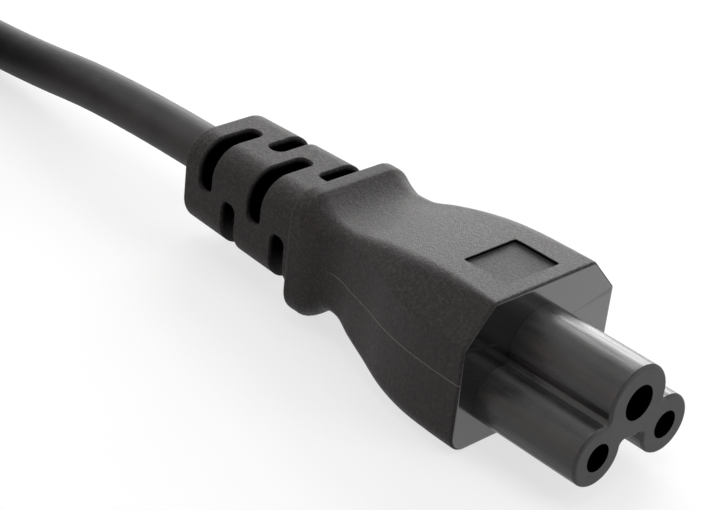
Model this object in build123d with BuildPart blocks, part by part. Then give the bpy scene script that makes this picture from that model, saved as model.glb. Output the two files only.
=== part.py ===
from build123d import *
import math
import os

os.makedirs("parts", exist_ok=True)

# Connector, from the tip of its nose back to the end of its strain relief
nose_length = 13.4
body_length = 27.4
collar_length = 1.9
relief_length = 19.3

# Front face of the body, with its two bevelled upper corners
face_width = 22.04
face_height = 16.55
face_corner = 2.2
bevel_width = 3.68
bevel_height = 4.08
bevel_crown = 0.03
face_edge = 0.35

# Narrowest place of the body, ahead of the collar
neck_distance = 22.0
neck_width = 13.9
neck_height = 10.55
neck_lift = 0.17
neck_corner = 1.2
neck_bevel = 0.6
round_crown = (math.sqrt(2) - 1) / 2

# Collar and strain relief, whose axis lies a little below the middle of the face
collar_width = 15.76
collar_height = 15.02
collar_corner = 3.23
collar_edge = 0.4
axis_drop = 0.45
relief_width = 13.6
relief_height = 11.84
relief_corner = 3.4
relief_end_width = 12.56
relief_end_height = 11.34
relief_end_corner = 3.56

# Slots pressed into the strain relief, in rows that change corners
slot_rows = 4
slot_first = 1.6
slot_pitch = 4.25
slot_width = 2.2
slot_depth = 2.1
slot_end = 0.9
slot_reaches = [(0.7, -0.5), (0.9, 0.2)]

# Bare label panel on top
panel_length = 6.03
panel_width = 7.54
panel_depth = 0.2
panel_setback = 1.91
panel_corner = 0.4

# Nose of three lobes, and the places of its three contacts from the middle of the face
earth_lobe = 4.06
side_lobe = 3.3
lobe_valley = 0.6
tip_edge = 0.3
earth_rise = 1.49
side_drop = 2.97
side_offset = 5.0
earth_entry = 1.76
side_entry = 1.38
entry_wall = 1.6
entry_chamfer = 0.16

# Block behind the nose that the overmould grips
insert_width = 17.4
insert_height = 12.55
insert_drop = 0.33
insert_corner = 3.0
insert_length = 8.0
face_wall = 2.0

# Contacts, as rolled sleeves with a crimp barrel
earth_bore = 1.6
side_bore = 1.2
earth_sleeve_wall = 0.5
side_sleeve_wall = 0.4
sleeve_length = 13.0
sleeve_web = 1.0
sleeve_slit = 0.5
slit_length = 9.0
barrel_length = 9.5
barrel_radius = 1.15
contact_play = 0.2

# Inner moulding over the crimps and the stripped cores
inner_width = 15.0
inner_height = 10.4
inner_corner = 2.5
inner_tail_width = 8.8
inner_tail_height = 7.4
inner_tail_start = 20.6

# Cord: sheath, insulated cores and copper strands
cord_diameter = 5.8
core_radius = 1.0
strand_radius = 0.55
bundle_radius = 1.2
core_lead = 2.5
core_settle = 3.5
core_bend = 6.0
sheath_grip = 19.0
mould_gap = 0.05

# Hank of put-away cord: racetrack laps, two beside each other and three high
hank_run = 102.0
hank_columns = 2
hank_layers = 3
hank_fold = 17.4
hank_near = -93.2
hank_seam = 4.8
hank_round = 2.8
entry_side = 1.8
tie_width = 4.0
tie_thickness = 0.6
tie_round = 2.2
tie_ear_length = 9.0
tie_ear_radius = 1.1
tie_ear_taper = 3

# Three-pin plug, lying inside the hank
plug_width = 24.0
plug_height = 25.0
plug_corner = 5.0
plug_length = 26.0
plug_back_width = 15.0
plug_back_height = 16.0
plug_back_corner = 6.0
plug_relief_length = 15.0
plug_relief_radius = 5.6
plug_mouth_radius = 4.3
plug_slots = 3
plug_slot_width = 1.6
plug_slot_depth = 1.1
plug_slot_pitch = 3.8
plug_slot_first = 3.4
plug_side = 1.7
plug_edge = 1.0
plug_slot_web = 3.0
bridge_width = 20.0
bridge_height = 21.5
bridge_corner = 4.0
bridge_thickness = 4.0
blade_width = 6.35
blade_thickness = 1.5
blade_reach = 17.0
blade_root = 7.0
blade_spacing = 12.7
blade_rise = 4.6
blade_hole = 1.5
blade_hole_setback = 4.5
blade_tip = 0.9
earth_pin_radius = 2.4
earth_pin_root = 2.0
earth_pin_reach = 20.0
earth_pin_spacing = 11.9
earth_pin_tip = 1.6

# Places along the connector, with the origin under the middle of its length
connector_length = nose_length + body_length + collar_length + relief_length
tip_x = connector_length / 2
face_x = tip_x - nose_length
collar_x = face_x - body_length
collar_back_x = collar_x - collar_length
relief_end_x = collar_back_x - relief_length
middle_z = face_height / 2
axis_z = middle_z - axis_drop
cord_radius = cord_diameter / 2
insert_front_x = face_x - face_wall
insert_back_x = insert_front_x - insert_length
contact_front_x = tip_x - entry_wall - contact_play
sleeve_end_x = contact_front_x - sleeve_length
barrel_start_x = sleeve_end_x - sleeve_web
barrel_end_x = barrel_start_x - barrel_length
sheath_x = relief_end_x + sheath_grip

# Each contact: side, height, bore, sleeve wall, entry hole, and its core's place in the bundle
bundle_side = bundle_radius * math.cos(math.radians(30))
bundle_drop = bundle_radius * math.sin(math.radians(30))
earth_z = middle_z + earth_rise
side_z = middle_z - side_drop
contacts = {
    "earth": (0.0, earth_z, earth_bore, earth_sleeve_wall, earth_entry, 0.0, bundle_radius),
    "line": (-side_offset, side_z, side_bore, side_sleeve_wall, side_entry, -bundle_side, -bundle_drop),
    "neutral": (side_offset, side_z, side_bore, side_sleeve_wall, side_entry, bundle_side, -bundle_drop),
}


def crowned(start, end, crown):
    """An edge between two points of an outline that bulges outwards by a share of its chord."""
    chord = Vector(*end) - Vector(*start)
    middle = (Vector(*start) + Vector(*end)) / 2
    outward = Vector(chord.Y, -chord.X)
    return ThreePointArc(start, middle + outward * crown, end)


def outline(x, centre_z, width, height, corner, bevel_y, bevel_z, crown):
    """A cross-section of the body: upright sides, round lower corners and bevelled upper ones."""
    half = width / 2
    top = centre_z + height / 2
    bottom = centre_z - height / 2
    with BuildSketch(Plane.YZ.offset(x)) as section:
        with BuildLine():
            Line((corner - half, bottom), (half - corner, bottom))
            crowned((half - corner, bottom), (half, bottom + corner), round_crown)
            Line((half, bottom + corner), (half, top - bevel_z))
            crowned((half, top - bevel_z), (half - bevel_y, top), crown)
            Line((half - bevel_y, top), (bevel_y - half, top))
            crowned((bevel_y - half, top), (-half, top - bevel_z), crown)
            Line((-half, top - bevel_z), (-half, bottom + corner))
            crowned((-half, bottom + corner), (corner - half, bottom), round_crown)
        make_face()
    return section.sketch


def between(start, end, share):
    """The value a given share of the way from one value to another."""
    return start + (end - start) * share


def rounded_block(x, centre_z, width, height, corner, length):
    """A block with round edges along X that runs back from a place on the connector."""
    with BuildPart() as block:
        with BuildSketch(Plane.YZ.offset(x)):
            with Locations((0, centre_z)):
                RectangleRounded(width, height, corner)
        extrude(amount=-length)
    return block.part


def inner_solid(gap):
    """The inner moulding's outside: a block that narrows to the neck and runs on to the sheath."""
    tail_x = face_x - inner_tail_start
    with BuildPart() as solid:
        with BuildSketch(Plane.YZ.offset(insert_back_x)):
            with Locations((0, axis_z)):
                RectangleRounded(inner_width + 2 * gap, inner_height + 2 * gap, inner_corner)
        with BuildSketch(Plane.YZ.offset(tail_x)) as tail:
            with Locations((0, axis_z)):
                RectangleRounded(inner_tail_width + 2 * gap, inner_tail_height + 2 * gap, inner_corner)
        loft()
        extrude(to_extrude=tail.sketch, amount=sheath_x - tail_x)
    return solid.part


def lead(start_x, radius, place):
    """A round lead that runs straight back from its contact, then bends in to the bundle at the sheath."""
    side, height, bundle_y, bundle_z = place[0], place[1], place[5], axis_z + place[6]
    with BuildPart() as wire:
        with BuildLine() as path:
            FilletPolyline(
                (start_x, side, height),
                (barrel_end_x - core_lead, side, height),
                (sheath_x + core_settle, bundle_y, bundle_z),
                (sheath_x, bundle_y, bundle_z),
                radius=core_bend,
            )
        with BuildSketch(Plane(origin=path.line @ 0, z_dir=path.line % 0)):
            Circle(radius)
        sweep(path=path.line)
    return wire.part


def corner_slot(x, side, up, reach, dip):
    """One slot of the strain relief, over the corner that side and up name, with round ends."""
    far = relief_width
    with BuildPart() as slot:
        with BuildSketch(Plane.YZ.offset(x)):
            with Locations((side * (far - reach) / 2, axis_z + up * (far - dip) / 2)):
                Rectangle(far + reach, far + dip)
            with Locations((0, axis_z)):
                RectangleRounded(
                    relief_end_width - 2 * slot_depth,
                    relief_end_height - 2 * slot_depth,
                    relief_end_corner - slot_depth,
                    mode=Mode.SUBTRACT,
                )
        extrude(amount=-slot_width)
        top_end = slot.edges().filter_by(Axis.Z).group_by(Axis.Y)[0 if side > 0 else -1]
        side_end = slot.edges().filter_by(Axis.Y).group_by(Axis.Z)[0 if up > 0 else -1]
        fillet(top_end + side_end, radius=slot_end)
    return slot.part


def route_radii(points):
    """The radius of the arc at each corner: 0.45 of its shorter run over the tangent of half its turn."""
    radii = []
    for before, corner, after in zip(points, points[1:], points[2:]):
        arriving = Vector(*corner) - Vector(*before)
        leaving = Vector(*after) - Vector(*corner)
        half_turn = math.radians(arriving.get_angle(leaving)) / 2
        radii.append(0.45 * min(arriving.length, leaving.length) / math.tan(half_turn))
    return radii


def cord_tube(points, radius):
    """A round tube along straight runs joined by tangent arcs."""
    with BuildPart() as tube:
        with BuildLine() as path:
            FilletPolyline(*points, radius=route_radii(points))
        with BuildSketch(Plane(origin=path.line @ 0, z_dir=path.line % 0)):
            Circle(radius)
        sweep(path=path.line)
    return tube.part, path.wire().length


# Route of the cord from inside the collar to the hank, and from the hank to the plug
hank_fold_outer = hank_fold + (hank_columns - 1) * cord_diameter
hank_axis_y = entry_side - hank_fold_outer
hank_top_z = hank_layers * cord_diameter
last_turn_y = hank_axis_y + hank_fold
last_turn_z = hank_top_z - cord_radius
plug_axis_y = hank_axis_y + plug_side
plug_axis_z = plug_height / 2
seam_x = hank_near - hank_seam
run_points = [
    (sheath_x, 0, axis_z),
    (-46.0, 0, axis_z),
    (-79.6, entry_side, cord_radius),
    (seam_x, entry_side, cord_radius),
]
tail_points = [
    (hank_near, last_turn_y, last_turn_z),
    (-104.3, last_turn_y, last_turn_z),
    (-114.6, -8.1, 14.0),
    (-122.8, -15.6, 13.2),
    (-133.1, plug_axis_y, plug_axis_z),
    (-144.2, plug_axis_y, plug_axis_z),
]
mouth_x = tail_points[-1][0]
plug_back_x = mouth_x - plug_relief_length
plug_face_x = plug_back_x - plug_length
blade_z = plug_axis_z + blade_rise
blade_places = [(plug_axis_y + side * blade_spacing / 2, blade_z) for side in (-1, 1)]
earth_pin_z = blade_z - earth_pin_spacing

# How far the body has drawn in from face to neck: distance, width, height and bevel shares
body_taper = [
    (0.0, 0.0, 0.0, 0.0),
    (2.0, 0.008, 0.0, 0.012),
    (4.0, 0.022, 0.003, 0.03),
    (6.0, 0.052, 0.012, 0.068),
    (8.0, 0.103, 0.03, 0.125),
    (10.0, 0.185, 0.085, 0.235),
    (12.0, 0.295, 0.18, 0.385),
    (14.0, 0.44, 0.3, 0.55),
    (16.0, 0.607, 0.435, 0.69),
    (18.0, 0.735, 0.62, 0.805),
    (20.0, 0.865, 0.82, 0.91),
    (neck_distance, 1.0, 1.0, 1.0),
]

# How far it has swelled from neck to collar: share of that length, size and corner shares
collar_swell = [(0.43, 0.18, 0.4), (0.67, 0.59, 0.7), (0.85, 0.86, 0.9), (1.0, 1.0, 1.0)]

sections = []
for distance, narrow, low, unbevel in body_taper:
    sections.append(
        outline(
            face_x - distance,
            middle_z + neck_lift * low,
            between(face_width, neck_width, narrow),
            between(face_height, neck_height, low),
            between(face_corner, neck_corner, unbevel),
            between(bevel_width, neck_bevel, unbevel),
            between(bevel_height, neck_bevel, unbevel),
            between(bevel_crown, round_crown, unbevel),
        )
    )
for along, swell, rounding in collar_swell:
    corner = between(neck_corner, collar_corner, rounding)
    sections.append(
        outline(
            between(face_x - neck_distance, collar_x, along),
            middle_z + between(neck_lift, -axis_drop, swell),
            between(neck_width, collar_width, swell),
            between(neck_height, collar_height, swell),
            corner,
            corner,
            corner,
            round_crown,
        )
    )


def nose_outline(x, gap):
    """The cloverleaf: an earth lobe above and two side lobes below, with soft valleys."""
    with BuildSketch(Plane.YZ.offset(x)) as lobes:
        with Locations((0, earth_z)):
            Circle(earth_lobe + gap)
        with Locations((-side_offset, side_z), (side_offset, side_z)):
            Circle(side_lobe + gap)
        fillet(lobes.vertices().filter_by(lambda corner: abs(corner.Y) > 1.0), radius=lobe_valley)
    return lobes.sketch


nose_profile = nose_outline(tip_x, 0.0)
nose_clearing = nose_outline(tip_x, mould_gap)
insert_z = middle_z - insert_drop
inner_clearing = inner_solid(mould_gap)
relief_slots = []
for row in range(slot_rows):
    reach, dip = slot_reaches[row % 2]
    over = 1 if row % 2 == 0 else -1
    slot_x = collar_back_x - slot_first - row * slot_pitch
    relief_slots.append(corner_slot(slot_x, over, 1, reach, dip))
    relief_slots.append(corner_slot(slot_x, -over, -1, reach, dip))
run_tube, run_length = cord_tube(run_points, cord_radius)
tail_tube, tail_length = cord_tube(tail_points, cord_radius)
run_clearing = cord_tube(run_points, cord_radius + mould_gap)[0]
tail_clearing = cord_tube(tail_points, cord_radius + mould_gap)[0]

# Overmould: body, collar and strain relief in one moulding around insert, inner moulding and cord
with BuildPart() as connector_body:
    loft(sections=sections)
    fillet(connector_body.faces().sort_by(Axis.X)[-1].edges(), radius=face_edge)
    extrude(to_extrude=sections[-1], amount=-collar_length)
    fillet(connector_body.faces().sort_by(Axis.X)[0].edges(), radius=collar_edge)
    with BuildSketch(Plane.YZ.offset(collar_back_x)):
        with Locations((0, axis_z)):
            RectangleRounded(relief_width, relief_height, relief_corner)
    with BuildSketch(Plane.YZ.offset(relief_end_x)):
        with Locations((0, axis_z)):
            RectangleRounded(relief_end_width, relief_end_height, relief_end_corner)
    loft()
    fillet(connector_body.faces().sort_by(Axis.X)[0].edges(), radius=collar_edge)
    for slot in relief_slots:
        add(slot, mode=Mode.SUBTRACT)
    extrude(to_extrude=nose_clearing, amount=-(nose_length + face_wall), mode=Mode.SUBTRACT)
    add(
        rounded_block(
            insert_front_x,
            insert_z,
            insert_width + 2 * mould_gap,
            insert_height + 2 * mould_gap,
            insert_corner,
            insert_length,
        ),
        mode=Mode.SUBTRACT,
    )
    add(inner_clearing, mode=Mode.SUBTRACT)
    with BuildSketch(Plane.YZ.offset(sheath_x)):
        with Locations((0, axis_z)):
            Circle(cord_radius + mould_gap)
    extrude(amount=-sheath_grip, mode=Mode.SUBTRACT)
    with BuildSketch(Plane.XY.offset(face_height - panel_depth)):
        with Locations((face_x - panel_setback - panel_length / 2, 0)):
            RectangleRounded(panel_length, panel_width, panel_corner)
    extrude(amount=face_height, mode=Mode.SUBTRACT)
connector_body.part.label = "connector_body"

# Nose insert: glossy cloverleaf with the block that the overmould grips, bored for three contacts
with BuildPart() as nose_insert:
    extrude(to_extrude=nose_profile, amount=-(nose_length + face_wall))
    fillet(nose_insert.faces().sort_by(Axis.X)[-1].edges(), radius=tip_edge)
    add(rounded_block(insert_front_x, insert_z, insert_width, insert_height, insert_corner, insert_length))
    for side, height, bore, wall, entry, _, _ in contacts.values():
        with BuildSketch(Plane.YZ.offset(tip_x)):
            with Locations((side, height)):
                Circle(entry)
        extrude(amount=-entry_wall, mode=Mode.SUBTRACT)
        with BuildSketch(Plane.YZ.offset(tip_x - entry_wall)):
            with Locations((side, height)):
                Circle(bore + wall + mould_gap)
        extrude(amount=insert_back_x - tip_x + entry_wall, mode=Mode.SUBTRACT)
    mouths = nose_insert.faces().sort_by(Axis.X)[-1].inner_wires().edges()
    chamfer(mouths, length=entry_chamfer)
nose_insert.part.label = "nose_insert"

# Contacts: a slit sleeve for the pin, a web, and a crimp barrel around the strands
contact_parts = {}
for name, (side, height, bore, wall, *_) in contacts.items():
    sleeve_radius = bore + wall
    with BuildPart() as contact:
        with BuildSketch(Plane.XZ):
            with BuildLine():
                Polyline(
                    (contact_front_x, bore),
                    (contact_front_x, sleeve_radius),
                    (barrel_start_x, sleeve_radius),
                    (barrel_start_x, barrel_radius),
                    (barrel_end_x, barrel_radius),
                    (barrel_end_x, strand_radius + mould_gap),
                    (barrel_start_x, strand_radius + mould_gap),
                    (barrel_start_x, 0),
                    (sleeve_end_x, 0),
                    (sleeve_end_x, bore),
                    close=True,
                )
            make_face()
        revolve(axis=Axis.X)
        with BuildSketch(Plane.XY):
            with Locations((contact_front_x - slit_length / 2, 0)):
                Rectangle(slit_length, sleeve_slit)
        extrude(amount=sleeve_radius + mould_gap, mode=Mode.SUBTRACT)
    placed = contact.part.moved(Location((0, side, height)))
    placed.label = "contact_" + name
    contact_parts[name] = placed

# Stripped cores and their copper strands, from the crimps to the end of the sheath
core_parts = {}
strand_parts = {}
for name, place in contacts.items():
    strands = lead(barrel_start_x - mould_gap, strand_radius, place)
    strands.label = "strands_" + name
    strand_parts[name] = strands
    with BuildPart() as core:
        add(lead(barrel_end_x, core_radius, place))
        add(lead(barrel_end_x, strand_radius + mould_gap, place), mode=Mode.SUBTRACT)
    core.part.label = "core_" + name
    core_parts[name] = core.part

# Inner moulding: first shot around the crimps and cores, under the overmould
with BuildPart() as inner_mould:
    add(inner_solid(0.0))
    for place in contacts.values():
        add(lead(insert_back_x, core_radius + mould_gap, place), mode=Mode.SUBTRACT)
        with BuildSketch(Plane.YZ.offset(insert_back_x)):
            with Locations((place[0], place[1])):
                Circle(barrel_radius + mould_gap)
        extrude(amount=barrel_end_x - insert_back_x, mode=Mode.SUBTRACT)
inner_mould.part.label = "inner_mould"

# Tie around the six runs on one side of the hank, with its twisted ends on top
tie_x = hank_near - hank_run / 2
tie_y = hank_axis_y - (hank_fold + hank_fold_outer) / 2
stack_width = hank_columns * cord_diameter
with BuildPart() as tie_band:
    with BuildSketch(Plane.YZ.offset(tie_x - tie_width / 2)):
        with Locations((tie_y, hank_top_z / 2)):
            RectangleRounded(stack_width, hank_top_z, tie_round)
            RectangleRounded(
                stack_width - 2 * tie_thickness,
                hank_top_z - 2 * tie_thickness,
                tie_round - tie_thickness,
                mode=Mode.SUBTRACT,
            )
    extrude(amount=tie_width)

with BuildPart() as hank_tie:
    add(tie_band.part)
    with BuildSketch(Plane.XY.offset(hank_top_z - tie_thickness)):
        with Locations((tie_x, tie_y)):
            Circle(tie_ear_radius)
    extrude(amount=tie_ear_length, taper=tie_ear_taper)
hank_tie.part.label = "hank_tie"

# Hank: the outer shape of its laps, open in the middle, channelled where the two free ends join it
with BuildPart() as cord_hank:
    with BuildSketch():
        with Locations((tie_x, hank_axis_y)):
            SlotCenterToCenter(hank_run, 2 * hank_fold_outer + cord_diameter)
            SlotCenterToCenter(hank_run, 2 * hank_fold - cord_diameter, mode=Mode.SUBTRACT)
    extrude(amount=hank_top_z)
    rims = cord_hank.edges().group_by(Axis.Z)[0] + cord_hank.edges().group_by(Axis.Z)[-1]
    fillet(rims, radius=hank_round)
    add(run_clearing, mode=Mode.SUBTRACT)
    add(tail_clearing, mode=Mode.SUBTRACT)
    add(tie_band.part, mode=Mode.SUBTRACT)
cord_hank.part.label = "cord_hank"

run_tube.label = "cord_run"
tail_tube.label = "cord_tail"

# Plug: overmould with its own strain relief, pocketed for the bridge, the blades and the earth pin
with BuildPart() as plug_body:
    with BuildSketch(Plane.YZ.offset(plug_face_x)):
        with Locations((plug_axis_y, plug_axis_z)):
            RectangleRounded(plug_width, plug_height, plug_corner)
    with BuildSketch(Plane.YZ.offset(plug_back_x)):
        with Locations((plug_axis_y, plug_axis_z)):
            RectangleRounded(plug_back_width, plug_back_height, plug_back_corner)
    loft()
    fillet(plug_body.faces().sort_by(Axis.X)[0].edges(), radius=plug_edge)
    with BuildSketch(Plane.YZ.offset(plug_back_x)):
        with Locations((plug_axis_y, plug_axis_z)):
            Circle(plug_relief_radius)
    with BuildSketch(Plane.YZ.offset(mouth_x)):
        with Locations((plug_axis_y, plug_axis_z)):
            Circle(plug_mouth_radius)
    loft()
    for row in range(plug_slots):
        with BuildSketch(Plane.YZ.offset(plug_back_x + plug_slot_first + row * plug_slot_pitch)):
            with Locations((plug_axis_y, plug_axis_z)):
                Circle(plug_relief_radius + plug_slot_depth)
                Circle(plug_mouth_radius - plug_slot_depth / 2, mode=Mode.SUBTRACT)
                Rectangle(4 * plug_relief_radius, plug_slot_web, mode=Mode.SUBTRACT)
        extrude(amount=plug_slot_width, mode=Mode.SUBTRACT)
    with BuildSketch(Plane.YZ.offset(plug_face_x)):
        with Locations((plug_axis_y, plug_axis_z)):
            RectangleRounded(bridge_width + 2 * mould_gap, bridge_height + 2 * mould_gap, bridge_corner)
    extrude(amount=bridge_thickness, mode=Mode.SUBTRACT)
    with BuildSketch(Plane.YZ.offset(plug_face_x)):
        with Locations(*blade_places):
            Rectangle(blade_thickness + 2 * mould_gap, blade_width + 2 * mould_gap)
        with Locations((plug_axis_y, earth_pin_z)):
            Circle(earth_pin_root + mould_gap)
    extrude(amount=blade_root, mode=Mode.SUBTRACT)
plug_body.part.label = "plug_body"

# Pin bridge: the hard plate that holds the pins, flush with the plug's face
with BuildPart() as plug_bridge:
    with BuildSketch(Plane.YZ.offset(plug_face_x)):
        with Locations((plug_axis_y, plug_axis_z)):
            RectangleRounded(bridge_width, bridge_height, bridge_corner)
        with Locations(*blade_places):
            Rectangle(blade_thickness + 2 * mould_gap, blade_width + 2 * mould_gap, mode=Mode.SUBTRACT)
        with Locations((plug_axis_y, earth_pin_z)):
            Circle(earth_pin_root + mould_gap, mode=Mode.SUBTRACT)
    extrude(amount=bridge_thickness)
plug_bridge.part.label = "plug_bridge"

# Flat blades with a tapered tip and a latching hole
blade_parts = {}
for name, (blade_y, _) in zip(("line", "neutral"), blade_places):
    with BuildPart() as blade:
        with BuildSketch(Plane.XZ.offset(-blade_y - blade_thickness / 2)) as flat:
            with Locations((plug_face_x + (blade_root - blade_reach) / 2, blade_z)):
                Rectangle(blade_reach + blade_root, blade_width)
            chamfer(flat.vertices().group_by(Axis.X)[0], length=blade_tip)
            with Locations((plug_face_x - blade_reach + blade_hole_setback, blade_z)):
                Circle(blade_hole, mode=Mode.SUBTRACT)
        extrude(amount=blade_thickness)
    blade.part.label = "blade_" + name
    blade_parts[name] = blade.part

# Earth pin with a rounded tip and a thinner root, whose shoulder stands on the bridge
with BuildPart() as pin_earth:
    with BuildSketch(Plane.YZ.offset(plug_face_x)):
        with Locations((plug_axis_y, earth_pin_z)):
            Circle(earth_pin_radius)
    extrude(amount=-earth_pin_reach)
    with BuildSketch(Plane.YZ.offset(plug_face_x)):
        with Locations((plug_axis_y, earth_pin_z)):
            Circle(earth_pin_root)
    extrude(amount=blade_root)
    fillet(pin_earth.faces().sort_by(Axis.X)[0].edges(), radius=earth_pin_tip)
pin_earth.part.label = "pin_earth"

finished = [
    connector_body.part,
    nose_insert.part,
    inner_mould.part,
    *contact_parts.values(),
    *core_parts.values(),
    *strand_parts.values(),
    run_tube,
    cord_hank.part,
    hank_tie.part,
    tail_tube,
    plug_body.part,
    plug_bridge.part,
    *blade_parts.values(),
    pin_earth.part,
]
for piece in finished:
    export_step(piece, "parts/" + piece.label + ".step")

section_area = math.pi * cord_radius**2
for words, points, tube, length in (
    ("connector to hank", run_points, run_tube, run_length),
    ("hank to plug", tail_points, tail_tube, tail_length),
):
    print("Cord,", words, "radii", [round(radius, 1) for radius in route_radii(points)])
    print("length", round(length, 1), "fill", round(tube.volume / (section_area * length), 4))
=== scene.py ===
import math
import bpy
import numpy as np
from mathutils import Matrix, Vector
from mathutils.geometry import delaunay_2d_cdt


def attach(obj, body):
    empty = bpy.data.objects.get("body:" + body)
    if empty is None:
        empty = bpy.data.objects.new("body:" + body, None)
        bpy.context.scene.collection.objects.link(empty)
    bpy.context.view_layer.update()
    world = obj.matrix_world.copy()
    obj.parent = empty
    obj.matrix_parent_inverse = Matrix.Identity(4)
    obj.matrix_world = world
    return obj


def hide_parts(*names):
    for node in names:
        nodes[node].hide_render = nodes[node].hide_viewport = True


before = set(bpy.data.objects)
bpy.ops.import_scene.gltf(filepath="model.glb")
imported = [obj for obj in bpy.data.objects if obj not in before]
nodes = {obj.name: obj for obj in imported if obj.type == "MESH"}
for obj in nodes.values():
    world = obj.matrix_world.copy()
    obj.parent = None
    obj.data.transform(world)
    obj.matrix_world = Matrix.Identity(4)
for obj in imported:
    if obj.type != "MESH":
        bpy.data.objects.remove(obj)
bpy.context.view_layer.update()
MM = 0.001

# Camera
# The photograph's viewpoint, close above the nose's line-contact side. It was found from the
# cloverleaf's standard sizes, and is set here by its place, two angles and a small roll.
view_azimuth = math.radians(43.997)
view_elevation = math.radians(29.512)
view_roll = math.radians(6.597)
view_place = np.array([128.118, -141.788, 118.319]) * MM
view_focal_px = 2092.03
photo_width_px = 713
sensor_width = 36.0

backward = np.array(
    [
        math.sin(view_azimuth) * math.cos(view_elevation),
        -math.cos(view_azimuth) * math.cos(view_elevation),
        math.sin(view_elevation),
    ]
)
level_right = np.cross(-backward, [0.0, 0.0, 1.0])
level_right /= np.linalg.norm(level_right)
level_up = np.cross(level_right, -backward)
right = math.cos(view_roll) * level_right + math.sin(view_roll) * level_up
up = math.cos(view_roll) * level_up - math.sin(view_roll) * level_right
camera = bpy.data.objects.new("camera", bpy.data.cameras.new("camera"))
bpy.context.scene.collection.objects.link(camera)
turn = Matrix([[right[k], up[k], backward[k]] for k in range(3)])
camera.matrix_world = Matrix.Translation(Vector(view_place)) @ turn.to_4x4()
camera.data.sensor_width = sensor_width
camera.data.lens = view_focal_px * sensor_width / photo_width_px
camera.data.clip_start = 0.01
bpy.context.scene.camera = camera

# Shader maths
# One small wrapper for a node tree: arithmetic on sockets writes Math nodes, and every
# other node comes from the add method with its settings and its socket values.


class Wire:
    """A socket of a node tree whose arithmetic adds Math nodes."""

    def __init__(self, tree, socket):
        self.tree = tree
        self.socket = socket

    def _math(self, operation, *values):
        node = self.tree.nodes.new("ShaderNodeMath")
        node.operation = operation
        for place, value in enumerate(values):
            if isinstance(value, Wire):
                self.tree.links.new(value.socket, node.inputs[place])
            else:
                node.inputs[place].default_value = value
        return Wire(self.tree, node.outputs[0])

    def __add__(self, other):
        return self._math("ADD", self, other)

    def __radd__(self, other):
        return self._math("ADD", other, self)

    def __sub__(self, other):
        return self._math("SUBTRACT", self, other)

    def __rsub__(self, other):
        return self._math("SUBTRACT", other, self)

    def __mul__(self, other):
        return self._math("MULTIPLY", self, other)

    def __rmul__(self, other):
        return self._math("MULTIPLY", other, self)

    def size(self):
        """Its value without its sign."""
        return self._math("ABSOLUTE", self)

    def largest(self, other):
        """The larger of two values."""
        return self._math("MAXIMUM", self, other)

    def over(self, low, high):
        """Nought below low, one above high, and smooth between them."""
        node = self.tree.nodes.new("ShaderNodeMapRange")
        node.interpolation_type = "SMOOTHSTEP"
        self.tree.links.new(self.socket, node.inputs["Value"])
        node.inputs["From Min"].default_value = low
        node.inputs["From Max"].default_value = high
        return Wire(self.tree, node.outputs["Result"])


class Finish:
    """A material: its node tree, its Principled shader, and a method that adds any other node."""

    def __init__(self, name, **shader):
        self.material = bpy.data.materials.new(name)
        self.material.use_nodes = True
        self.tree = self.material.node_tree
        self.shader = self.tree.nodes["Principled BSDF"]
        for socket, value in shader.items():
            self.shader.inputs[socket.replace("_", " ")].default_value = value

    def add(self, kind, output=0, settings=None, **inputs):
        """A node of this kind, with its settings set first and its sockets given values or wires.

        A socket goes by its name, or by an underscore and its number where names repeat."""
        node = self.tree.nodes.new("ShaderNode" + kind)
        for setting, value in (settings or {}).items():
            setattr(node, setting, value)
        for socket, value in inputs.items():
            numbered = socket[1:].isdigit()
            place = node.inputs[int(socket[1:]) if numbered else socket.replace("_", " ")]
            if isinstance(value, Wire):
                self.tree.links.new(value.socket, place)
            else:
                place.default_value = value
        return Wire(self.tree, node.outputs[output])

    def feed(self, socket, wire):
        """Links a wire to a socket of the Principled shader."""
        self.tree.links.new(wire.socket, self.shader.inputs[socket])

    def lay_painted_shade(self, share):
        """Lays a painted shade, a lightless black, over the shader by a share, for the insides of deep cuts."""
        black = self.add("BsdfDiffuse", Color=(0.0, 0.0, 0.0, 1.0))
        laid = self.add("MixShader", _0=share, _1=Wire(self.tree, self.shader.outputs[0]), _2=black)
        self.tree.links.new(laid.socket, self.tree.nodes["Material Output"].inputs["Surface"])

    def place(self, scale=(1.0, 1.0, 1.0)):
        """Object coordinates, stretched along the axes."""
        where = self.add("TexCoord", output="Object")
        return self.add("Mapping", Vector=where, Scale=scale)

    def noise(self, where, scale, detail=2.0, roughness=0.5):
        """Cloudy noise about one half, its scale in waves for each metre."""
        return self.add("TexNoise", Vector=where, Scale=scale, Detail=detail, Roughness=roughness)

    def blend(self, share, first, second):
        """Two colours mixed by a share."""
        return self.mix_colours(share, (*first, 1.0), second)

    def mix_colours(self, share, under, colour):
        """A colour laid over another socket's colour by a share."""
        settings = {"data_type": "RGBA"}
        return self.add("Mix", output=2, settings=settings, _0=share, _6=under, _7=(*colour, 1.0))

    def bump(self, height, distance, strength=1.0, under=None):
        """A normal from a height, laid over another normal where one is given."""
        inputs = {"Height": height, "Distance": distance, "Strength": strength}
        if under is not None:
            inputs["Normal"] = under
        return self.add("Bump", **inputs)


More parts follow.
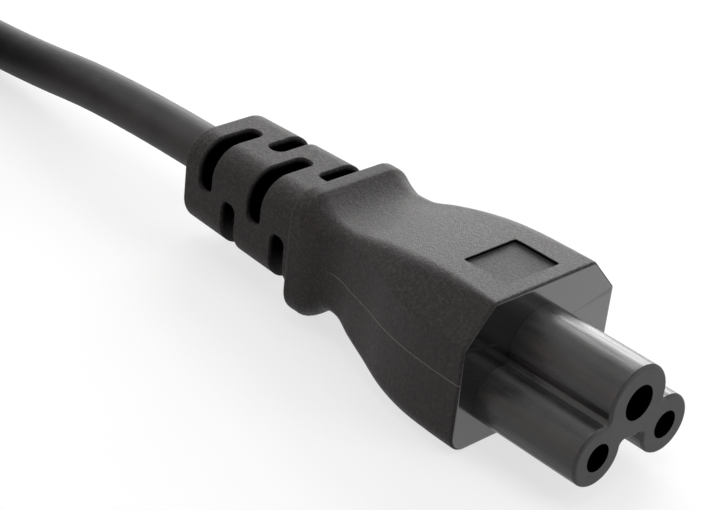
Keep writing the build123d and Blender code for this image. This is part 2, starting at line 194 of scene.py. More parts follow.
# Cord
# One round three-core cord with a black PVC sheath. It leaves the relief, sinks to the
# table, and its unseen length is wound into a flat hank of five laps that ends in the plug.
cord_diameter = 5.8
cord_radius = cord_diameter / 2
axis_z = 7.825
hank_near = -93.2
hank_run = 102.0
fold_inner = 17.4
fold_outer = fold_inner + cord_diameter
entry_side = 1.8
hank_axis_y = entry_side - fold_outer
hank_levels = 3
hank_top_z = hank_levels * cord_diameter
run_points = [
    (-12.0, 0.0, axis_z),
    (-46.0, 0.4, 8.6),
    (-79.6, entry_side, cord_radius),
]
tail_points = [
    (-104.3, hank_axis_y + fold_inner, hank_top_z - cord_radius),
    (-114.6, -8.1, 14.0),
    (-122.8, -15.6, 13.2),
    (-133.1, -19.7, 12.5),
    (-144.2, -19.7, 12.5),
]
fold_steps = 6
run_stops = 4
stops_after_far_fold = [26.0, 51.0]
stops_before_near_fold = [30.0, 17.0]
first_run_leads = 4
# A lap's move to its next place begins this far before the near fold, later by a lag for each lap
# that follows it, and takes this length of cord.
shift_start = 45.0
shift_lag = 13.35
shift_length = 44.5


def smooth(share):
    """Nought to one with level ends: three share squared less two share cubed, held at its ends."""
    share = np.clip(share, 0.0, 1.0)
    return share * share * (3.0 - 2.0 * share)


def hank_points():
    """The hank's control points, lap by lap: a run out, the far fold, the run back and the near fold.

    A fold's points stand on a circle a little outside the fold, at the middle of equal angles. On the
    way round the near end each lap moves to its next place in the stack, one lap after another, so that
    no two laps touch. The first run starts a little further along, where the cord reaches the table."""
    levels = [cord_radius + cord_diameter * level for level in range(hank_levels)]
    stack = [
        (fold_outer, levels[0]),
        (fold_inner, levels[0]),
        (fold_inner, levels[1]),
        (fold_outer, levels[1]),
        (fold_outer, levels[2]),
        (fold_inner, levels[2]),
    ]
    far_x = hank_near - hank_run
    half_step = math.pi / fold_steps / 2
    lead = math.tan(half_step)
    points = []
    for lap in range(len(stack) - 1):
        radius, height = stack[lap]
        next_radius, next_height = stack[lap + 1]
        begin = shift_lag * (len(stack) - 2 - lap)
        first_x = hank_near - (radius * lead if lap else first_run_leads * radius * lead)
        for x in np.linspace(first_x, far_x + radius * lead, run_stops):
            points.append((x, hank_axis_y + radius, height))
        for step in range(fold_steps):
            angle = (2 * step + 1) * half_step
            reach = radius / math.cos(half_step)
            x = far_x - reach * math.sin(angle)
            points.append((x, hank_axis_y + reach * math.cos(angle), height))
        run_back = [far_x + stop for stop in (radius * lead, *stops_after_far_fold)]
        run_back += [hank_near - stop for stop in (shift_start, *stops_before_near_fold, radius * lead)]
        for x in run_back:
            done = smooth((x - hank_near + shift_start - begin) / shift_length)
            here = radius + (next_radius - radius) * done
            points.append((x, hank_axis_y - here, height + (next_height - height) * done))
        middle = (fold_inner + fold_outer) / 2
        for step in range(fold_steps):
            angle = (2 * step + 1) * half_step
            done = smooth((shift_start + middle * angle - begin) / shift_length)
            reach = (radius + (next_radius - radius) * done) / math.cos(half_step)
            x = hank_near + reach * math.sin(angle)
            y = hank_axis_y - reach * math.cos(angle)
            points.append((x, y, height + (next_height - height) * done))
    return points


route = run_points + hank_points() + tail_points
cord_curve = bpy.data.curves.new("cord", "CURVE")
cord_curve.dimensions = "3D"
cord_curve.twist_mode = "MINIMUM"
cord_curve.resolution_u = 10
cord_curve.render_resolution_u = 10
cord_curve.bevel_depth = cord_radius * MM
cord_curve.bevel_resolution = 6
cord_curve.use_fill_caps = True
line = cord_curve.splines.new("NURBS")
line.points.add(len(route) - 1)
route_metres = np.array([(x * MM, y * MM, z * MM, 1.0) for x, y, z in route])
line.points.foreach_set("co", route_metres.ravel())
line.order_u = 3
line.use_endpoint_u = True
cord = bpy.data.objects.new("cord", cord_curve)
bpy.context.scene.collection.objects.link(cord)

sheath = Finish("sheath", Specular_IOR_Level=0.25)
grain_place = sheath.place((0.35, 1.0, 1.0))
sheath_grain = sheath.noise(grain_place, 2600.0, 3.0, 0.6)
sheath_cloud = sheath.noise(sheath.place(), 160.0, 3.0)
sheath_tint = sheath.blend(sheath_cloud.over(0.3, 0.7), (0.030, 0.029, 0.030), (0.050, 0.048, 0.048))
sheath.feed("Base Color", sheath_tint)
sheath.feed("Roughness", 0.48 + 0.1 * sheath_cloud + 0.1 * sheath_grain)
sheath_low = sheath.bump(sheath_cloud, 0.15 * MM)
sheath.feed("Normal", sheath.bump(sheath_grain, 0.03 * MM, 0.8, sheath_low))
cord.data.materials.append(sheath.material)
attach(cord, "root")
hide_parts("cord_run", "cord_hank", "cord_tail")

# Overmould: front body, neck and collar
# One soft PVC moulding around the insert and the cord, with a finely sparked surface, two
# bevelled upper corners, a flare into the collar, and a bare sunk panel on top of its front.
face_x = 17.6
middle_z = 8.275
body_length = 27.4
collar_length = 1.9
collar_x = face_x - body_length
collar_back_x = collar_x - collar_length
section_keys = [
    # distance behind the face, half width, middle height, half height, radius of the lower corners,
    # bevel across, bevel down, radius of the bevel's top edge and of its side edge
    (0.0, 11.02, 8.275, 8.275, 2.2, 3.68, 4.08, 0.8, 0.4),
    (4.0, 10.93, 8.275, 8.27, 2.2, 3.6, 3.98, 1.6, 0.35),
    (8.0, 10.60, 8.28, 8.19, 2.1, 3.28, 3.65, 2.4, 0.35),
    (12.0, 9.82, 8.305, 7.735, 1.85, 2.5, 2.75, 2.6, 0.4),
    (16.0, 8.55, 8.35, 6.97, 1.6, 1.6, 1.75, 2.2, 0.5),
    (19.0, 7.78, 8.40, 6.15, 1.4, 1.15, 1.2, 1.8, 0.7),
    (22.0, 6.95, 8.445, 5.30, 1.3, 0.85, 0.85, 1.5, 1.2),
    (23.2, 6.93, 8.42, 5.30, 1.5, 0.96, 0.96, 1.6, 1.5),
    (24.4, 7.14, 8.22, 5.62, 2.0, 1.27, 1.27, 2.1, 2.1),
    (25.6, 7.50, 7.855, 6.385, 2.6, 1.56, 1.56, 2.6, 2.6),
    (26.6, 7.75, 7.76, 7.06, 3.0, 1.82, 1.82, 3.05, 3.05),
    (27.0, 7.83, 7.785, 7.31, 3.1, 1.87, 1.87, 3.15, 3.15),
    (27.4, 7.88, 7.84, 7.52, 3.23, 1.91, 1.91, 3.23, 3.23),
    (27.8, 7.88, 7.875, 7.56, 3.23, 1.91, 1.91, 3.23, 3.23),
]


def through(at, keys, values):
    """A smooth curve through keyed values: cubic pieces, each key's slope taken from its neighbours."""
    keys = np.asarray(keys, float)
    values = np.asarray(values, float)
    slopes = np.gradient(values, keys)
    at = np.clip(at, keys[0], keys[-1])
    span = np.clip(np.searchsorted(keys, at) - 1, 0, len(keys) - 2)
    width = keys[span + 1] - keys[span]
    share = (at - keys[span]) / width
    start = (1 + 2 * share) * (1 - share) ** 2
    end = share**2 * (3 - 2 * share)
    rise = share * (1 - share) ** 2 * width
    fall = share**2 * (share - 1) * width
    return values[span] * start + values[span + 1] * end + slopes[span] * rise + slopes[span + 1] * fall


def rounded_outline(corners, radii, straight, arc):
    """Rings of points around rounded polygons, with the unit outward normals.

    corners is rings by corners by two, anticlockwise, and radii is rings by corners. At each corner an
    arc runs from one tangent point to the other: its centre is the corner less the tangent length along
    the arriving edge, plus the radius along the inward normal. The straight stretches have points at
    the given shares of their length, one row of shares for all rings or one for each."""
    arriving = corners - np.roll(corners, 1, axis=1)
    arriving /= np.linalg.norm(arriving, axis=2, keepdims=True)
    leaving = np.roll(arriving, -1, axis=1)
    crossed = arriving[..., 0] * leaving[..., 1] - arriving[..., 1] * leaving[..., 0]
    turn = np.arctan2(crossed, (arriving * leaving).sum(2))
    tangent = radii * np.tan(turn / 2)
    inward = np.stack([-arriving[..., 1], arriving[..., 0]], axis=2)
    centre = corners - arriving * tangent[..., None] + inward * radii[..., None]
    points, normals = [], []
    count = corners.shape[1]
    for corner in range(count):
        share = np.linspace(0.0, 1.0, arc[corner])[None, :]
        angle = turn[:, corner, None] * share
        base = -inward[:, corner]
        normal = np.stack(
            [
                base[:, :1] * np.cos(angle) - base[:, 1:] * np.sin(angle),
                base[:, :1] * np.sin(angle) + base[:, 1:] * np.cos(angle),
            ],
            axis=2,
        )
        points.append(centre[:, corner, None] + normal * radii[:, corner, None, None])
        normals.append(normal)
        after = (corner + 1) % count
        begin = corners[:, corner] + leaving[:, corner] * tangent[:, corner, None]
        finish = corners[:, after] - leaving[:, corner] * tangent[:, after, None]
        shares = straight[corner]
        share = np.broadcast_to(shares, (len(corners), shares.shape[-1]))[..., None]
        points.append(begin[:, None] * (1 - share) + finish[:, None] * share)
        normals.append(np.repeat(normal[:, -1:], share.shape[1], axis=1))
    return np.concatenate(points, axis=1), np.concatenate(normals, axis=1)


def even(count):
    """Even shares of a length, both ends left out."""
    return np.linspace(0.0, 1.0, count + 2)[1:-1]


def corner_rows(*corners):
    """Corners given as a row of Y and a row of Z, one value for each ring, as rings by corners by two."""
    return np.stack([np.stack(corner, axis=1) for corner in corners], axis=1)


def at_lengths(lengths, outline):
    """Rings of points: each ring of the outline, in Y and Z, set at its own X."""
    lengths = np.broadcast_to(lengths[:, None, None], outline.shape[:2] + (1,))
    return np.concatenate([lengths, outline], axis=2)


def tube_faces(index, middle, inside_out=False):
    """Quads between rows of point numbers, row to row and round, and a fan from the last row to a point.

    They look outwards when the rows run anticlockwise seen from the first one's side, and are turned
    over for a hole."""
    beside = np.roll(index, -1, axis=1)
    quads = np.stack([index[:-1], index[1:], beside[1:], beside[:-1]], axis=2).reshape(-1, 4)
    fan = np.stack([np.full(index.shape[1], middle), beside[-1], index[-1]], axis=1)
    faces = quads.tolist() + fan.tolist()
    return [face[:1] + face[:0:-1] for face in faces] if inside_out else faces


def closed_grid(rings):
    """A closed skin over rings of points: a tube with a fan to a middle point at each end."""
    many, around = rings.shape[:2]
    first = rings[0].mean(axis=0)
    last = rings[-1].mean(axis=0)
    points = np.concatenate([rings.reshape(-1, 3), first[None], last[None]])
    index = np.arange(many * around).reshape(many, around)
    front = np.stack([np.full(around, index.size), index[0], np.roll(index[0], -1)], axis=1)
    return points, tube_faces(index, index.size + 1) + front.tolist()


def new_piece(name, points, faces, **shares):
    """A smooth-shaded object in metres from points in millimetres, with its place in its mesh.

    Each named share becomes a vertex attribute that a material can read."""
    mesh = bpy.data.meshes.new(name)
    mesh.from_pydata((np.asarray(points) * MM).tolist(), [], faces)
    mesh.validate()
    mesh.polygons.foreach_set("use_smooth", np.ones(len(mesh.polygons), bool))
    for label, values in shares.items():
        attribute = mesh.attributes.new(label, "FLOAT", "POINT")
        attribute.data.foreach_set("value", np.asarray(values, np.float32))
    piece = bpy.data.objects.new(name, mesh)
    bpy.context.scene.collection.objects.link(piece)
    return piece


panel_length = 6.03
panel_width = 7.54
panel_depth = 0.4
panel_setback = 1.91
panel_corner = 0.2
panel_wall = 0.05
wall_margin = 0.15
face_round = 0.35
rim_round = 0.45
# A flat end has one more ring this far inside its edge, which keeps its shading flat up to the edge.
flat_margin = 0.05
edge_steps = np.linspace(0.0, math.pi / 2, 7)
wall_steps = np.linspace(-2 * panel_wall, 2 * panel_wall, 7)
panel_back = panel_setback + panel_length
shell_length = body_length + collar_length
keys = np.array(section_keys)
# The rings' distances behind the face, closest at the rounded edges, at the panel's walls and where
# the collar begins.
behind = np.concatenate(
    [
        [0.0],
        face_round * (1 - np.cos(edge_steps)),
        np.linspace(face_round, panel_setback - wall_margin, 14)[1:],
        panel_setback + wall_steps,
        np.linspace(panel_setback + wall_margin, panel_back - wall_margin, 34),
        panel_back + wall_steps,
        np.linspace(panel_back + wall_margin, body_length - 0.25, 150),
        body_length + np.linspace(-0.2, 0.2, 9),
        np.linspace(body_length + 0.3, shell_length - rim_round, 8),
        shell_length - rim_round * (1 - np.sin(edge_steps[1:])),
    ]
)
drawn_in = np.zeros(len(behind))
drawn_in[0] = face_round + flat_margin
drawn_in[1 : 1 + len(edge_steps)] = face_round * (1 - np.sin(edge_steps))
drawn_in[1 - len(edge_steps) :] = rim_round * (1 - np.cos(edge_steps[1:]))
along = [through(behind, keys[:, 0], keys[:, column]) for column in range(1, 9)]
half_width, centre, half_height, lower, bevel_across, bevel_down, top_soft, side_soft = along
top = centre + half_height
bottom = centre - half_height
corners = corner_rows(
    (half_width, bottom),
    (half_width, top - bevel_down),
    (half_width - bevel_across, top),
    (bevel_across - half_width, top),
    (-half_width, top - bevel_down),
    (-half_width, bottom),
)
radii = np.stack([lower, side_soft, top_soft, top_soft, side_soft, lower], axis=1)
# Shares of the top's flat width, with a tight group of points at each side wall of the panel.
top_flat = 2 * (half_width - bevel_across - top_soft * np.tan(np.arctan2(bevel_down, bevel_across) / 2))
least_edge = 0.06
wall_gap = 0.015
panel_edge = np.maximum(0.5 - panel_width / 2 / top_flat, least_edge)[:, None]
wall_shares = wall_steps / top_flat.max()
outer = np.linspace(0.0, 1.0, 8)[1:] * (panel_edge - wall_gap)
inner = np.linspace(0.0, 1.0, 40) * (1 - 2 * wall_gap - 2 * panel_edge) + panel_edge + wall_gap
top_shares = np.concatenate(
    [outer, panel_edge + wall_shares, inner, 1 - panel_edge + wall_shares, 1 - outer[:, ::-1]], axis=1
)
stretches = (even(24), even(12), top_shares, even(12), even(24), even(30))
outline, normals = rounded_outline(corners, radii, stretches, (10, 8, 12, 12, 8, 10))
outline = outline - normals * drawn_in[:, None, None]
rings = at_lengths(face_x - behind, outline)


def rounded_box_depth(across, along, half_across, half_along, corner):
    """How far inside a rounded rectangle a place lies, below nought outside it.

    It is the corner radius less the distance from the rectangle shrunk by that radius on each side,
    and a distance within the shrunk rectangle counts as negative."""
    x = np.abs(across) - half_across + corner
    y = np.abs(along) - half_along + corner
    outside = np.hypot(np.maximum(x, 0.0), np.maximum(y, 0.0))
    return corner - outside - np.minimum(np.maximum(x, y), 0.0)


top_band = 0.3
on_top = rings[..., 2] > top[:, None] - top_band
panel_inside = rounded_box_depth(
    rings[..., 0] - (face_x - panel_setback - panel_length / 2),
    rings[..., 1],
    panel_length / 2,
    panel_width / 2,
    panel_corner,
)
sunk = smooth((panel_inside + panel_wall) / (2 * panel_wall)) * on_top
rings[..., 2] -= panel_depth * sunk

body_points, body_faces = closed_grid(rings)
body_shell = new_piece("body_shell", body_points, body_faces, sunk=np.append(sunk.ravel(), [0.0, 0.0]))

sparked = Finish("sparked_pvc", Specular_IOR_Level=0.18, Coat_Roughness=0.1, Coat_IOR=1.9)
spark_place = sparked.place()
spark = sparked.noise(spark_place, 7000.0, 2.0, 0.75)
spark_coarse = sparked.noise(spark_place, 2600.0, 2.0, 0.6)
handled = sparked.noise(spark_place, 110.0, 4.0, 0.55)
length_place = sparked.add("SeparateXYZ", output="X", Vector=spark_place)
side_place = sparked.add("SeparateXYZ", output="Y", Vector=spark_place)
height_place = sparked.add("SeparateXYZ", output="Z", Vector=spark_place)
at_face = length_place.over((face_x - 0.04) * MM, (face_x - 0.01) * MM)
at_relief = 1.0 - length_place.over((collar_x - 0.5) * MM, (collar_x + 0.7) * MM)
in_panel = sparked.add("Attribute", output="Fac", settings={"attribute_name": "sunk"})
in_slot = sparked.add("Attribute", output="Fac", settings={"attribute_name": "pressed"})
in_wall = in_panel * (1.0 - in_panel)
plain = 1.0 - at_face.largest(in_slot)
# The parting line of the mould runs along both sides at half height, and fades towards the neck. It is a small
# ridge from a bump, with a painted highlight laid lighter along it.
seam_and_highlight = 1.0 - (height_place - middle_z * MM).size().over(0.02 * MM, 0.1 * MM)
seam_and_highlight = seam_and_highlight * side_place.size().over(6.0 * MM, 6.5 * MM)
seam_and_highlight = seam_and_highlight * length_place.over(-7.0 * MM, -4.0 * MM) * (1.0 - at_face)
speckle = (0.55 * spark + 0.45 * spark_coarse).over(0.46, 0.6) * plain
tint = sparked.blend(speckle, (0.016, 0.0145, 0.0145), (0.062, 0.056, 0.054))
tint = sparked.mix_colours(0.1 + 0.3 * handled.over(0.3, 0.7), tint, (0.028, 0.026, 0.025))
# Painted shade: the sunk panel's floor is laid darker, standing in for the weaker sheen on its smoother floor.
tint = sparked.mix_colours(0.5 * in_panel, tint, (0.016, 0.016, 0.016))
tint = sparked.mix_colours(at_face, tint, (0.014, 0.014, 0.014))
# Painted highlight: the parting line is laid much lighter than the moulding around it.
tint = sparked.mix_colours(0.8 * seam_and_highlight, tint, (0.26, 0.24, 0.23))
sparked.feed("Base Color", tint)
matte = 0.36 + 0.2 * spark + 0.06 * handled + 0.1 * at_relief + 0.04 * in_panel
sparked.feed("Roughness", matte * (1.0 - at_face) + at_face * (0.15 + 0.08 * handled))
sparked.feed("Coat Weight", at_face)
sparked_low = sparked.bump(spark_coarse * plain, 0.05 * MM)
sparked_fine = sparked.bump(spark * plain, 0.08 * MM, 1.0, sparked_low)
sparked.feed("Normal", sparked.bump(seam_and_highlight, 0.03 * MM, 0.6, sparked_fine))
# Painted shade: the slots are laid black inside, less so low down where the table's light reaches, and so are
# the panel's walls.
slot_painted_shade = in_slot.over(0.03, 0.25) * height_place.over(2.5 * MM, 7.0 * MM)
sparked.lay_painted_shade(slot_painted_shade.largest((3.6 * in_wall).over(0.3, 0.9)))
body_shell.data.materials.append(sparked.material)
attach(body_shell, "root")
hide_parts("connector_body")

# Strain relief
# The same moulding behind the collar: a tapered sleeve with four rows of slots, each row
# open over two opposite corners, so that it bends evenly with the cord.
relief_length = 19.3
# Half width, half height and corner radius at the collar and at the cord.
relief_root = (6.8, 5.92, 3.4)
relief_tip = (6.28, 5.67, 3.56)
relief_overlap = 0.3
slot_first = 1.6
slot_pitch = 4.25
slot_width = 2.2
slot_depth = 2.7
slot_corner = 0.9
# How far the slots of an even and of an odd row reach past the middle of the top, and how far short
# of the middle of the side they end.
slot_reaches = [(0.7, -0.5), (0.9, 0.2)]
slot_rows = 4
slot_wall = 0.1
slot_margin = 0.35
relief_round = 0.5

relief_steps = [np.linspace(-relief_overlap, slot_first - slot_margin, 10)[:-1]]
for row in range(slot_rows):
    edge = slot_first + row * slot_pitch
    relief_steps.append(edge + np.linspace(-slot_margin, slot_width + slot_margin, 40))
    if row < slot_rows - 1:
        next_edge = edge + slot_pitch
        relief_steps.append(np.linspace(edge + slot_width + slot_margin, next_edge - slot_margin, 9)[1:-1])
last_edge = slot_first + (slot_rows - 1) * slot_pitch + slot_width + slot_margin
relief_steps.append(np.linspace(last_edge, relief_length - relief_round, 4)[1:-1])
relief_steps.append(relief_length - relief_round * (1 - np.sin(edge_steps)))
behind = np.concatenate(relief_steps)
drawn_in = np.zeros(len(behind))
drawn_in[-len(edge_steps) :] = relief_round * (1 - np.cos(edge_steps))
share = np.clip(behind / relief_length, 0.0, 1.0)
half_width, half_height, corner = [root + (tip - root) * share for root, tip in zip(relief_root, relief_tip)]
top = axis_z + half_height
bottom = axis_z - half_height
square = corner_rows((half_width, bottom), (half_width, top), (-half_width, top), (-half_width, bottom))
radii = np.repeat(corner[:, None], 4, axis=1)
stretches = (even(46), even(64), even(46), even(64))
outline, normals = rounded_outline(square, radii, stretches, (44, 44, 44, 44))
# The way round each ring, counted from the middle of its top.
step_lengths = np.linalg.norm(np.roll(outline, -1, axis=1) - outline, axis=2)
walked = np.cumsum(step_lengths, axis=1) - step_lengths
girth = walked[:, -1:] + step_lengths[:, -1:]
off_top = np.where(outline[..., 1] < axis_z, np.inf, np.abs(outline[..., 0]))
start = np.take_along_axis(walked, off_top.argmin(axis=1)[:, None], axis=1)
round_top = (start - walked + girth / 2) % girth - girth / 2
side_walk = (half_width - corner) + corner * math.pi / 2 + (half_height - corner)
inside = np.full(outline.shape[:2], -1.0)
for row in range(slot_rows):
    past_top, short_of_side = slot_reaches[row % 2]
    over = 1.0 if row % 2 == 0 else -1.0
    to_side = side_walk - short_of_side
    middle = (to_side - past_top) / 2
    half_walk = (to_side + past_top) / 2
    slot_middle = slot_first + row * slot_pitch + slot_width / 2
    for turned in (0.0, 0.5):
        walk = over * round_top + turned * girth - middle[:, None]
        walk = (walk + girth / 2) % girth - girth / 2
        here = rounded_box_depth(
            np.broadcast_to(behind[:, None] - slot_middle, walk.shape),
            walk,
            slot_width / 2,
            half_walk[:, None],
            slot_corner,
        )
        inside = np.maximum(inside, here)
pressed = smooth((inside + slot_wall) / (2.2 * slot_wall))
outline = outline - normals * (slot_depth * pressed + drawn_in[:, None])[..., None]
rings = at_lengths(collar_back_x - behind, outline)
relief_points, relief_faces = closed_grid(rings)
in_slots = np.append(pressed.ravel(), [0.0, 0.0])
relief_shell = new_piece("relief_shell", relief_points, relief_faces, pressed=in_slots)
relief_shell.data.materials.append(sparked.material)
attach(relief_shell, "root")
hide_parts("connector_body")

# Nose
# The hard contact carrier: a cloverleaf of an earth lobe over two side lobes, polished, with
# fine lines drawn along it by the mould, and three entry holes in its flat tip.
nose_length = 13.4
tip_x = face_x + nose_length
earth_lobe = 4.06
side_lobe = 3.3
lobe_valley = 0.6
earth_z = middle_z + 1.49
side_z = middle_z - 2.97
side_y = 5.0
earth_entry = 1.76
side_entry = 1.35
entry_wall = 1.6
tip_round = 0.35
entry_round = 0.16
chamber_extra = 0.2
chamber_step = 0.05
chamber_depth = 12.5
chamber_middle = 0.02
nose_root = 1.0
lobe_steps = 60
valley_steps = 14
web_steps = 26
skin_steps = 30
hole_steps = 48


def clover_outline(drawn_in):
    """The cloverleaf in Y and Z: arcs of the three lobes, joined by hollow arcs that touch both lobes.

    A hollow arc's centre stands off each lobe's centre by the lobe's radius plus its own. Drawing in
    takes from the lobes' radii and adds to the hollows'."""
    earth = np.array([0.0, earth_z])
    side = np.array([side_y, side_z])
    between = side - earth
    apart = np.linalg.norm(between)
    far_earth = earth_lobe + lobe_valley
    far_side = side_lobe + lobe_valley
    along = (apart**2 + far_earth**2 - far_side**2) / (2 * apart)
    off = math.sqrt(far_earth**2 - along**2)
    unit = between / apart
    across = np.array([-unit[1], unit[0]])
    outer = earth + unit * along + across * off
    inner = earth + unit * along - across * off

    def bearing(centre, point):
        """The angle at which a point stands from a centre."""
        return math.atan2(point[1] - centre[1], point[0] - centre[0])

    def arc(centre, radius, begin, finish, steps):
        """The centre plus the radius times the cosine and the sine of even angles."""
        angle = np.linspace(begin, finish, steps)
        return np.stack([centre[0] + radius * np.cos(angle), centre[1] + radius * np.sin(angle)], axis=1)

    full = 2 * math.pi
    lobe_begin = bearing(side, inner)
    lobe_finish = bearing(side, outer)
    if lobe_finish < lobe_begin:
        lobe_finish += full
    lobe = arc(side, side_lobe - drawn_in, lobe_begin, lobe_finish, lobe_steps)
    valley_begin = bearing(outer, side)
    valley_finish = bearing(outer, earth)
    while valley_finish > valley_begin:
        valley_finish -= full
    valley = arc(outer, lobe_valley + drawn_in, valley_begin, valley_finish, valley_steps)
    crown_begin = bearing(earth, outer)
    crown = arc(earth, earth_lobe - drawn_in, crown_begin, math.pi - crown_begin, lobe_steps)
    web_begin = bearing(earth, inner)
    web = arc(earth, earth_lobe - drawn_in, -math.pi - web_begin, web_begin, web_steps)
    lower_begin = bearing(inner, earth)
    lower_finish = bearing(inner, side)
    while lower_finish > lower_begin:
        lower_finish -= full
    lower = arc(inner, lobe_valley + drawn_in, lower_begin, lower_finish, valley_steps)
    mirrored = [piece[::-1] * np.array([-1.0, 1.0]) for piece in (valley, lobe, lower)]
    return np.concatenate([piece[:-1] for piece in (lobe, valley, crown, *mirrored, web, lower)])


tip_steps = tip_round * (1 - np.cos(edge_steps))
skin_lengths = np.linspace(tip_round, nose_length + nose_root, skin_steps)[1:]
behind = np.concatenate([[0.0], tip_steps, skin_lengths])
tip_insets = tip_round * (1 - np.sin(edge_steps))
drawn_in = np.concatenate([[tip_round + flat_margin], tip_insets, np.zeros(len(skin_lengths))])
clover = np.stack([clover_outline(inset) for inset in drawn_in])
skin = at_lengths(tip_x - behind, clover)
hole_angles = np.linspace(0.0, 2 * math.pi, hole_steps, endpoint=False)
hole_depths = [entry_wall, entry_wall + chamber_step, chamber_depth, chamber_depth]
inward = np.concatenate([[0.0], entry_round * (1 - np.cos(edge_steps)), hole_depths])
entries = ((0.0, earth_z, earth_entry), (-side_y, side_z, side_entry), (side_y, side_z, side_entry))
tubes = [skin]
for centre_y, centre_z, radius in entries:
    mouth = [radius + entry_round + flat_margin]
    flare = radius + entry_round * (1 - np.sin(edge_steps))
    chamber = [radius, radius + chamber_extra, radius + chamber_extra, chamber_middle]
    width = np.concatenate([mouth, flare, chamber])[:, None]
    circles = np.stack([centre_y + width * np.cos(hole_angles), centre_z + width * np.sin(hole_angles)], axis=2)
    tubes.append(at_lengths(tip_x - inward, circles))

# The skin and the three holes are tubes that begin at the flat tip, and the tip joins their first rings.
nose_points, nose_faces, loops = [], [], []
count = 0
for number, tube in enumerate(tubes):
    many, around = tube.shape[:2]
    index = count + np.arange(many * around).reshape(many, around)
    count += index.size + 1
    nose_points += [tube.reshape(-1, 3), tube[-1].mean(axis=0)[None]]
    nose_faces += tube_faces(index, count - 1, inside_out=number > 0)
    loops.append(index[0])
nose_points = np.concatenate(nose_points)
rim = np.concatenate(loops)
rim_edges = []
start = 0
for loop in loops:
    rim_edges += [(start + k, start + (k + 1) % len(loop)) for k in range(len(loop))]
    start += len(loop)
flat = [Vector((y, z)) for y, z in nose_points[rim, 1:]]
omit_holes = 3
weld = 1e-6
tip_faces = delaunay_2d_cdt(flat, rim_edges, [], omit_holes, weld)[2]
nose_faces += [[int(rim[k]) for k in face] for face in tip_faces]
nose = new_piece("nose", nose_points, nose_faces)

polished = Finish("polished_nose", Specular_IOR_Level=0.5)
drawn_place = polished.place((0.04, 1.0, 1.0))
drawn = polished.noise(drawn_place, 1700.0, 3.0, 0.6)
drawn_wide = polished.noise(drawn_place, 430.0, 1.0, 0.5)
smudge = polished.noise(polished.place(), 260.0, 4.0, 0.6)
fine = polished.noise(polished.place(), 4200.0, 2.0)
polished_x = polished.add("SeparateXYZ", output="X", Vector=polished.place())
at_tip = polished_x.over((tip_x - tip_round) * MM, (tip_x - 0.1) * MM)
along_nose = 1.0 - at_tip
polished_tint = polished.blend(smudge.over(0.35, 0.65), (0.016, 0.016, 0.016), (0.03, 0.03, 0.029))
polished.feed("Base Color", polished_tint)
gloss = 0.2 + 0.26 * drawn.over(0.35, 0.7) + 0.12 * smudge
polished.feed("Roughness", gloss * along_nose + 0.5 * at_tip)
polished_low = polished.bump(drawn_wide * along_nose, 0.3 * MM, 0.9)
polished_drawn = polished.bump(drawn * along_nose, 0.03 * MM, 0.8, polished_low)
polished.feed("Normal", polished.bump(fine, 0.012 * MM, 0.6, polished_drawn))
nose.data.materials.append(polished.material)
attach(nose, "root")
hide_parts("nose_insert")

# Contacts, cores and inner moulding
# Rolled brass sleeves with crimps on copper strands, coloured core insulation, and the first
# moulding around them. Only the sleeves' mouths show, deep in the entry holes.


def dress(names, finish):
    """Gives CAD nodes a finish in place of their plain one."""
    for name in names:
        slots = nodes[name].material_slots
        for slot in slots:
            slot.material = finish.material
        if not slots:
            nodes[name].data.materials.append(finish.material)


def plain_finish(name, colour, lighter, roughness, metallic=0.0, scale=700.0, bump=0.01):
    """A moulded or rolled surface: two near colours in fine clouds, with a rough grain."""
    finish = Finish(name, Metallic=metallic, Roughness=roughness)
    clouds = finish.noise(finish.place(), scale, 3.0)
    finish.feed("Base Color", finish.blend(clouds.over(0.3, 0.7), colour, lighter))
    finish.feed("Roughness", roughness - 0.08 + 0.16 * clouds)
    finish.feed("Normal", finish.bump(clouds, bump * MM))
    return finish


kinds = ("earth", "line", "neutral")
brass = plain_finish("rolled_brass", (0.45, 0.34, 0.15), (0.6, 0.46, 0.22), 0.35, metallic=1.0)
dress(["contact_" + kind for kind in kinds], brass)
copper = plain_finish("copper_strands", (0.6, 0.25, 0.12), (0.8, 0.38, 0.2), 0.3, 1.0, scale=1800.0, bump=0.04)
dress(["strands_" + kind for kind in kinds], copper)
two_colours = plain_finish("earth_insulation", (0.12, 0.32, 0.03), (0.62, 0.55, 0.03), 0.4, scale=260.0)
dress(["core_earth"], two_colours)
dress(["core_line"], plain_finish("line_insulation", (0.13, 0.05, 0.02), (0.18, 0.08, 0.035), 0.4))
dress(["core_neutral"], plain_finish("neutral_insulation", (0.02, 0.09, 0.34), (0.035, 0.13, 0.42), 0.4))
dress(["inner_mould"], plain_finish("inner_plastic", (0.04, 0.04, 0.04), (0.06, 0.06, 0.06), 0.6))

# Plug and tie
# The wall plug of the same black PVC with a hard pin bridge, nickel-plated blades and a round
# earth pin. The tie is a flat plastic-covered wire around one side of the hank.
dress(["plug_body"], sparked)
dress(["plug_bridge"], polished)
nickel = plain_finish("nickel", (0.56, 0.54, 0.49), (0.62, 0.6, 0.56), 0.34, 1.0, scale=260.0, bump=0.002)
dress(["blade_line", "blade_neutral", "pin_earth"], nickel)
dress(["hank_tie"], plain_finish("tie_plastic", (0.03, 0.03, 0.03), (0.05, 0.05, 0.05), 0.3))

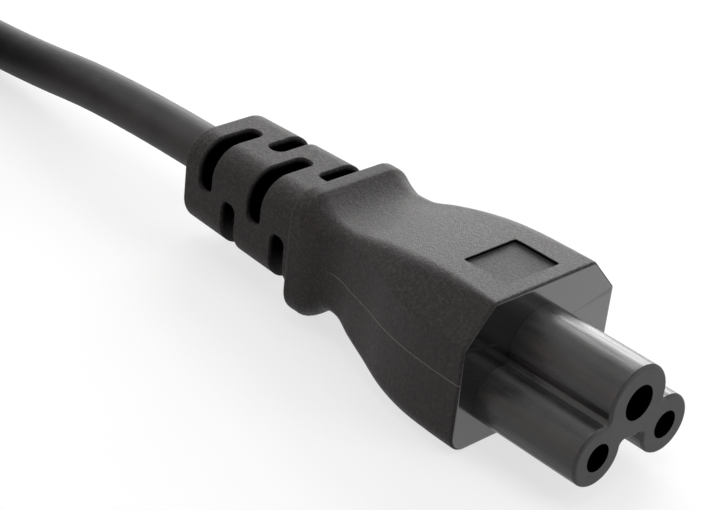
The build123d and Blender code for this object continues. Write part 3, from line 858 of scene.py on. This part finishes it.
# Studio
# A pale table, a white surround seen by the camera and by reflections, and five soft lamps: a wide
# low one behind, one at each side, one overhead, and a small warm one low down in front.
table_size = 3.0
half = table_size / 2
table = bpy.data.objects.new("table", bpy.data.meshes.new("table"))
table_corners = [(-half, -half, 0), (half, -half, 0), (half, half, 0), (-half, half, 0)]
table.data.from_pydata(table_corners, [], [(0, 1, 2, 3)])
bpy.context.scene.collection.objects.link(table)
pale = Finish("pale_table", Roughness=0.9, Specular_IOR_Level=0.1)
pale.shader.inputs["Base Color"].default_value = (0.32, 0.32, 0.32, 1.0)
pale.shader.inputs["Emission Color"].default_value = (1.0, 1.0, 1.0, 1.0)


def looked_at(tree):
    """One for what the camera, a reflection or clear glass looks at, nought for light."""
    paths = tree.nodes.new("ShaderNodeLightPath")
    wires = [Wire(tree, paths.outputs["Is " + ray + " Ray"]) for ray in ("Camera", "Glossy", "Transmission")]
    return wires[0].largest(wires[1]).largest(wires[2])


table_glow = 0.7
pale.feed("Emission Strength", table_glow * looked_at(pale.tree))
table.data.materials.append(pale.material)

world = bpy.data.worlds.new("surround")
bpy.context.scene.world = world
world.use_nodes = True
background = world.node_tree.nodes["Background"]
background.inputs["Color"].default_value = (1.0, 1.0, 1.0, 1.0)
surround_level = 0.1
strength = surround_level + (1.0 - surround_level) * looked_at(world.node_tree)
world.node_tree.links.new(strength.socket, background.inputs["Strength"])


def soft_lamp(name, place, aim, size, radiance, colour=(1.0, 1.0, 1.0)):
    """A square area lamp in metres: its power is pi times its area times the brightness of its face."""
    lamp = bpy.data.objects.new(name, bpy.data.lights.new(name, "AREA"))
    lamp.data.shape = "SQUARE"
    lamp.data.size = size
    lamp.data.energy = math.pi * size**2 * radiance
    lamp.data.color = colour
    lamp.location = place
    lamp.rotation_euler = (Vector(aim) - Vector(place)).to_track_quat("-Z", "Y").to_euler()
    bpy.context.scene.collection.objects.link(lamp)


soft_lamp("window_behind", (-0.34, 0.52, 0.29), (0.0, 0.0, 0.0), 0.52, 6.6)
soft_lamp("window_left", (-0.50, -0.22, 0.28), (-0.01, 0.0, 0.0), 0.3, 2.2)
soft_lamp("window_right", (0.50, 0.25, 0.45), (0.0, 0.0, 0.0), 0.4, 2.4)
soft_lamp("window_above", (0.0, 0.05, 0.65), (0.0, 0.0, 0.0), 0.45, 2.0)
soft_lamp("warm_fill", (-0.1, -0.6, 0.2), (0.0, 0.0, 0.0), 0.3, 1.0, (1.0, 0.5, 0.4))

bpy.context.scene.view_settings.view_transform = "Standard"
bpy.context.view_layer.update()
